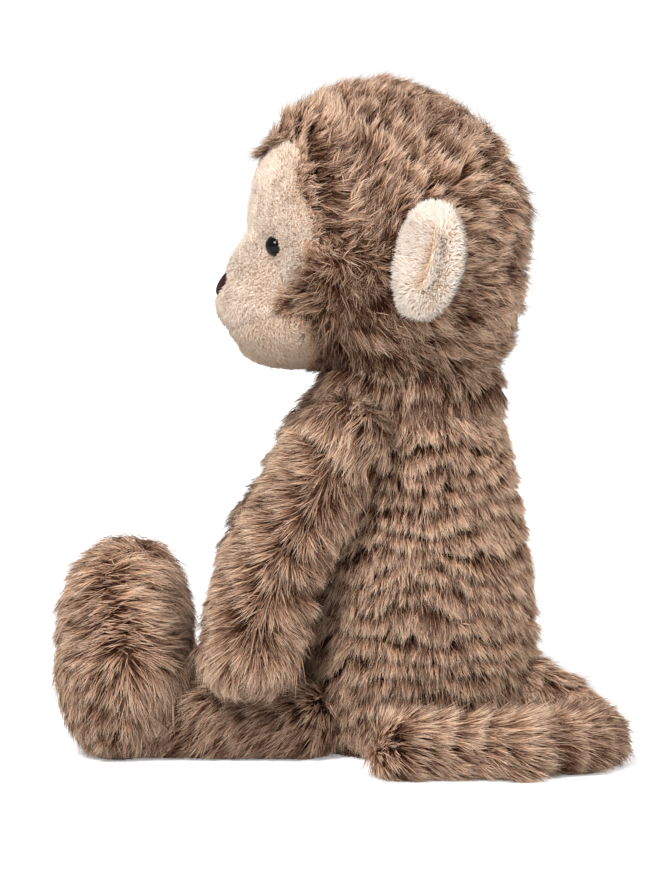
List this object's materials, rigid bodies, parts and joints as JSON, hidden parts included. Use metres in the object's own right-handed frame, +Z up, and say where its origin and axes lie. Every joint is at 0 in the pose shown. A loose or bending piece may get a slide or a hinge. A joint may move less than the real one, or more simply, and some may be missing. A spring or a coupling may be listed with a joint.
{
  "type": "stuffed toy monkey",
  "caption": "Seated stuffed toy monkey with shaggy plush casings over fibre stuffing, safety eyes, bean bags in seat and feet, and floppy limbs, ears and curled tail.",
  "frame": {"origin": "middle of the flat underside of the seat, on the ground", "axes": "+Z up, -Y the way the monkey faces, +X towards its left side"},
  "size_m": [0.138, 0.1825, 0.224],
  "materials": {
    "brown_plush": "long-pile brown plush fabric, dark roots and pale tips",
    "cream_plush": "short-pile cream plush fabric",
    "ear_plush": "cream plush fabric with a medium pile",
    "nose_suede": "dark brown suede-like cloth",
    "eye_plastic": "polished black plastic",
    "washer_plastic": "unpainted white plastic",
    "fibre_stuffing": "white polyester fibre",
    "bean_bag": "thin woven bag filled with plastic beans"
  },
  "bodies": {
    "torso": {"body_front_panel": "brown_plush", "body_back_panel": "brown_plush", "body_seat_panel": "brown_plush", "body_stuffing": "fibre_stuffing", "seat_bean_bag": "bean_bag"},
    "neck": {"neck_stuffing": "fibre_stuffing"},
    "head": {"head_left_panel": "brown_plush", "head_right_panel": "brown_plush", "head_crown_gusset": "brown_plush", "head_nape_gusset": "brown_plush", "head_throat_gusset": "brown_plush", "face_panel": "cream_plush", "chin_panel": "cream_plush", "head_stuffing": "fibre_stuffing", "eye_left": "eye_plastic", "eye_right": "eye_plastic", "eye_left_washer": "washer_plastic", "eye_right_washer": "washer_plastic", "nose": "nose_suede"},
    "ear_left": {"ear_left_front_panel": "ear_plush", "ear_left_back_panel": "ear_plush"},
    "arm_left": {"arm_left_outer_panel": "brown_plush", "arm_left_inner_panel": "brown_plush", "arm_left_stuffing": "fibre_stuffing"},
    "leg_left": {"leg_left_sleeve": "brown_plush", "leg_left_stuffing": "fibre_stuffing"},
    "foot_left": {"foot_left_upper_panel": "brown_plush", "foot_left_sole_panel": "brown_plush", "foot_left_stuffing": "fibre_stuffing", "foot_left_bean_bag": "bean_bag"},
    "ear_right": {"ear_right_front_panel": "ear_plush", "ear_right_back_panel": "ear_plush"},
    "arm_right": {"arm_right_outer_panel": "brown_plush", "arm_right_inner_panel": "brown_plush", "arm_right_stuffing": "fibre_stuffing"},
    "leg_right": {"leg_right_sleeve": "brown_plush", "leg_right_stuffing": "fibre_stuffing"},
    "foot_right": {"foot_right_upper_panel": "brown_plush", "foot_right_sole_panel": "brown_plush", "foot_right_stuffing": "fibre_stuffing", "foot_right_bean_bag": "bean_bag"},
    "tail_base": {"tail_base_sleeve": "brown_plush", "tail_base_stuffing": "fibre_stuffing"},
    "tail_middle": {"tail_middle_sleeve": "brown_plush", "tail_middle_stuffing": "fibre_stuffing"},
    "tail_tip": {"tail_tip_sleeve": "brown_plush", "tail_tip_stuffing": "fibre_stuffing"}
  },
  "joints": [
    {"name": "head_turn", "type": "hinge", "parent": "torso", "child": "neck", "pos_m": [0, -0.005, 0.124], "axis": [0, 0, 1], "range_deg": [-35, 35]},
    {"name": "head_nod", "type": "hinge", "parent": "neck", "child": "head", "pos_m": [0, -0.005, 0.124], "axis": [1, 0, 0], "range_deg": [-12, 12]},
    {"name": "ear_left_fold", "type": "hinge", "parent": "head", "child": "ear_left", "pos_m": [0.04652, -0.00627, 0.1694], "axis": [0.1396, -0.1536, -0.9782], "range_deg": [-20, 25]},
    {"name": "ear_right_fold", "type": "hinge", "parent": "head", "child": "ear_right", "pos_m": [-0.04652, -0.00627, 0.1694], "axis": [0.1396, 0.1536, 0.9782], "range_deg": [-20, 25]},
    {"name": "arm_left_swing", "type": "hinge", "parent": "torso", "child": "arm_left", "pos_m": [0.0348, -0.0265, 0.1085], "axis": [-0.8996, -0.4195, -0.1219], "range_deg": [-5, 50]},
    {"name": "arm_right_swing", "type": "hinge", "parent": "torso", "child": "arm_right", "pos_m": [-0.0348, -0.0265, 0.1085], "axis": [-0.8996, 0.4195, 0.1219], "range_deg": [-5, 50]},
    {"name": "leg_left_swing", "type": "hinge", "parent": "torso", "child": "leg_left", "pos_m": [0.019, -0.0436, 0.012], "axis": [-1, 0, 0], "range_deg": [-70, 16]},
    {"name": "foot_left_tilt", "type": "hinge", "parent": "leg_left", "child": "foot_left", "pos_m": [0.019, -0.0731, 0.012], "axis": [-1, 0, 0], "range_deg": [-20, 18]},
    {"name": "leg_right_swing", "type": "hinge", "parent": "torso", "child": "leg_right", "pos_m": [-0.019, -0.0436, 0.012], "axis": [-1, 0, 0], "range_deg": [-70, 16]},
    {"name": "foot_right_tilt", "type": "hinge", "parent": "leg_right", "child": "foot_right", "pos_m": [-0.019, -0.0731, 0.012], "axis": [-1, 0, 0], "range_deg": [-20, 18]},
    {"name": "tail_base_swing", "type": "hinge", "parent": "torso", "child": "tail_base", "pos_m": [0.01412, 0.04357, 0.02019], "axis": [0, 0, 1], "range_deg": [-5, 75]},
    {"name": "tail_middle_bend", "type": "hinge", "parent": "tail_base", "child": "tail_middle", "pos_m": [0.04325, 0.05505, 0.0088], "axis": [0, 0, 1], "range_deg": [-5, 40]},
    {"name": "tail_tip_bend", "type": "hinge", "parent": "tail_middle", "child": "tail_tip", "pos_m": [0.064, 0.028, 0.0088], "axis": [0, 0, 1], "range_deg": [-12, 40]}
  ]
}
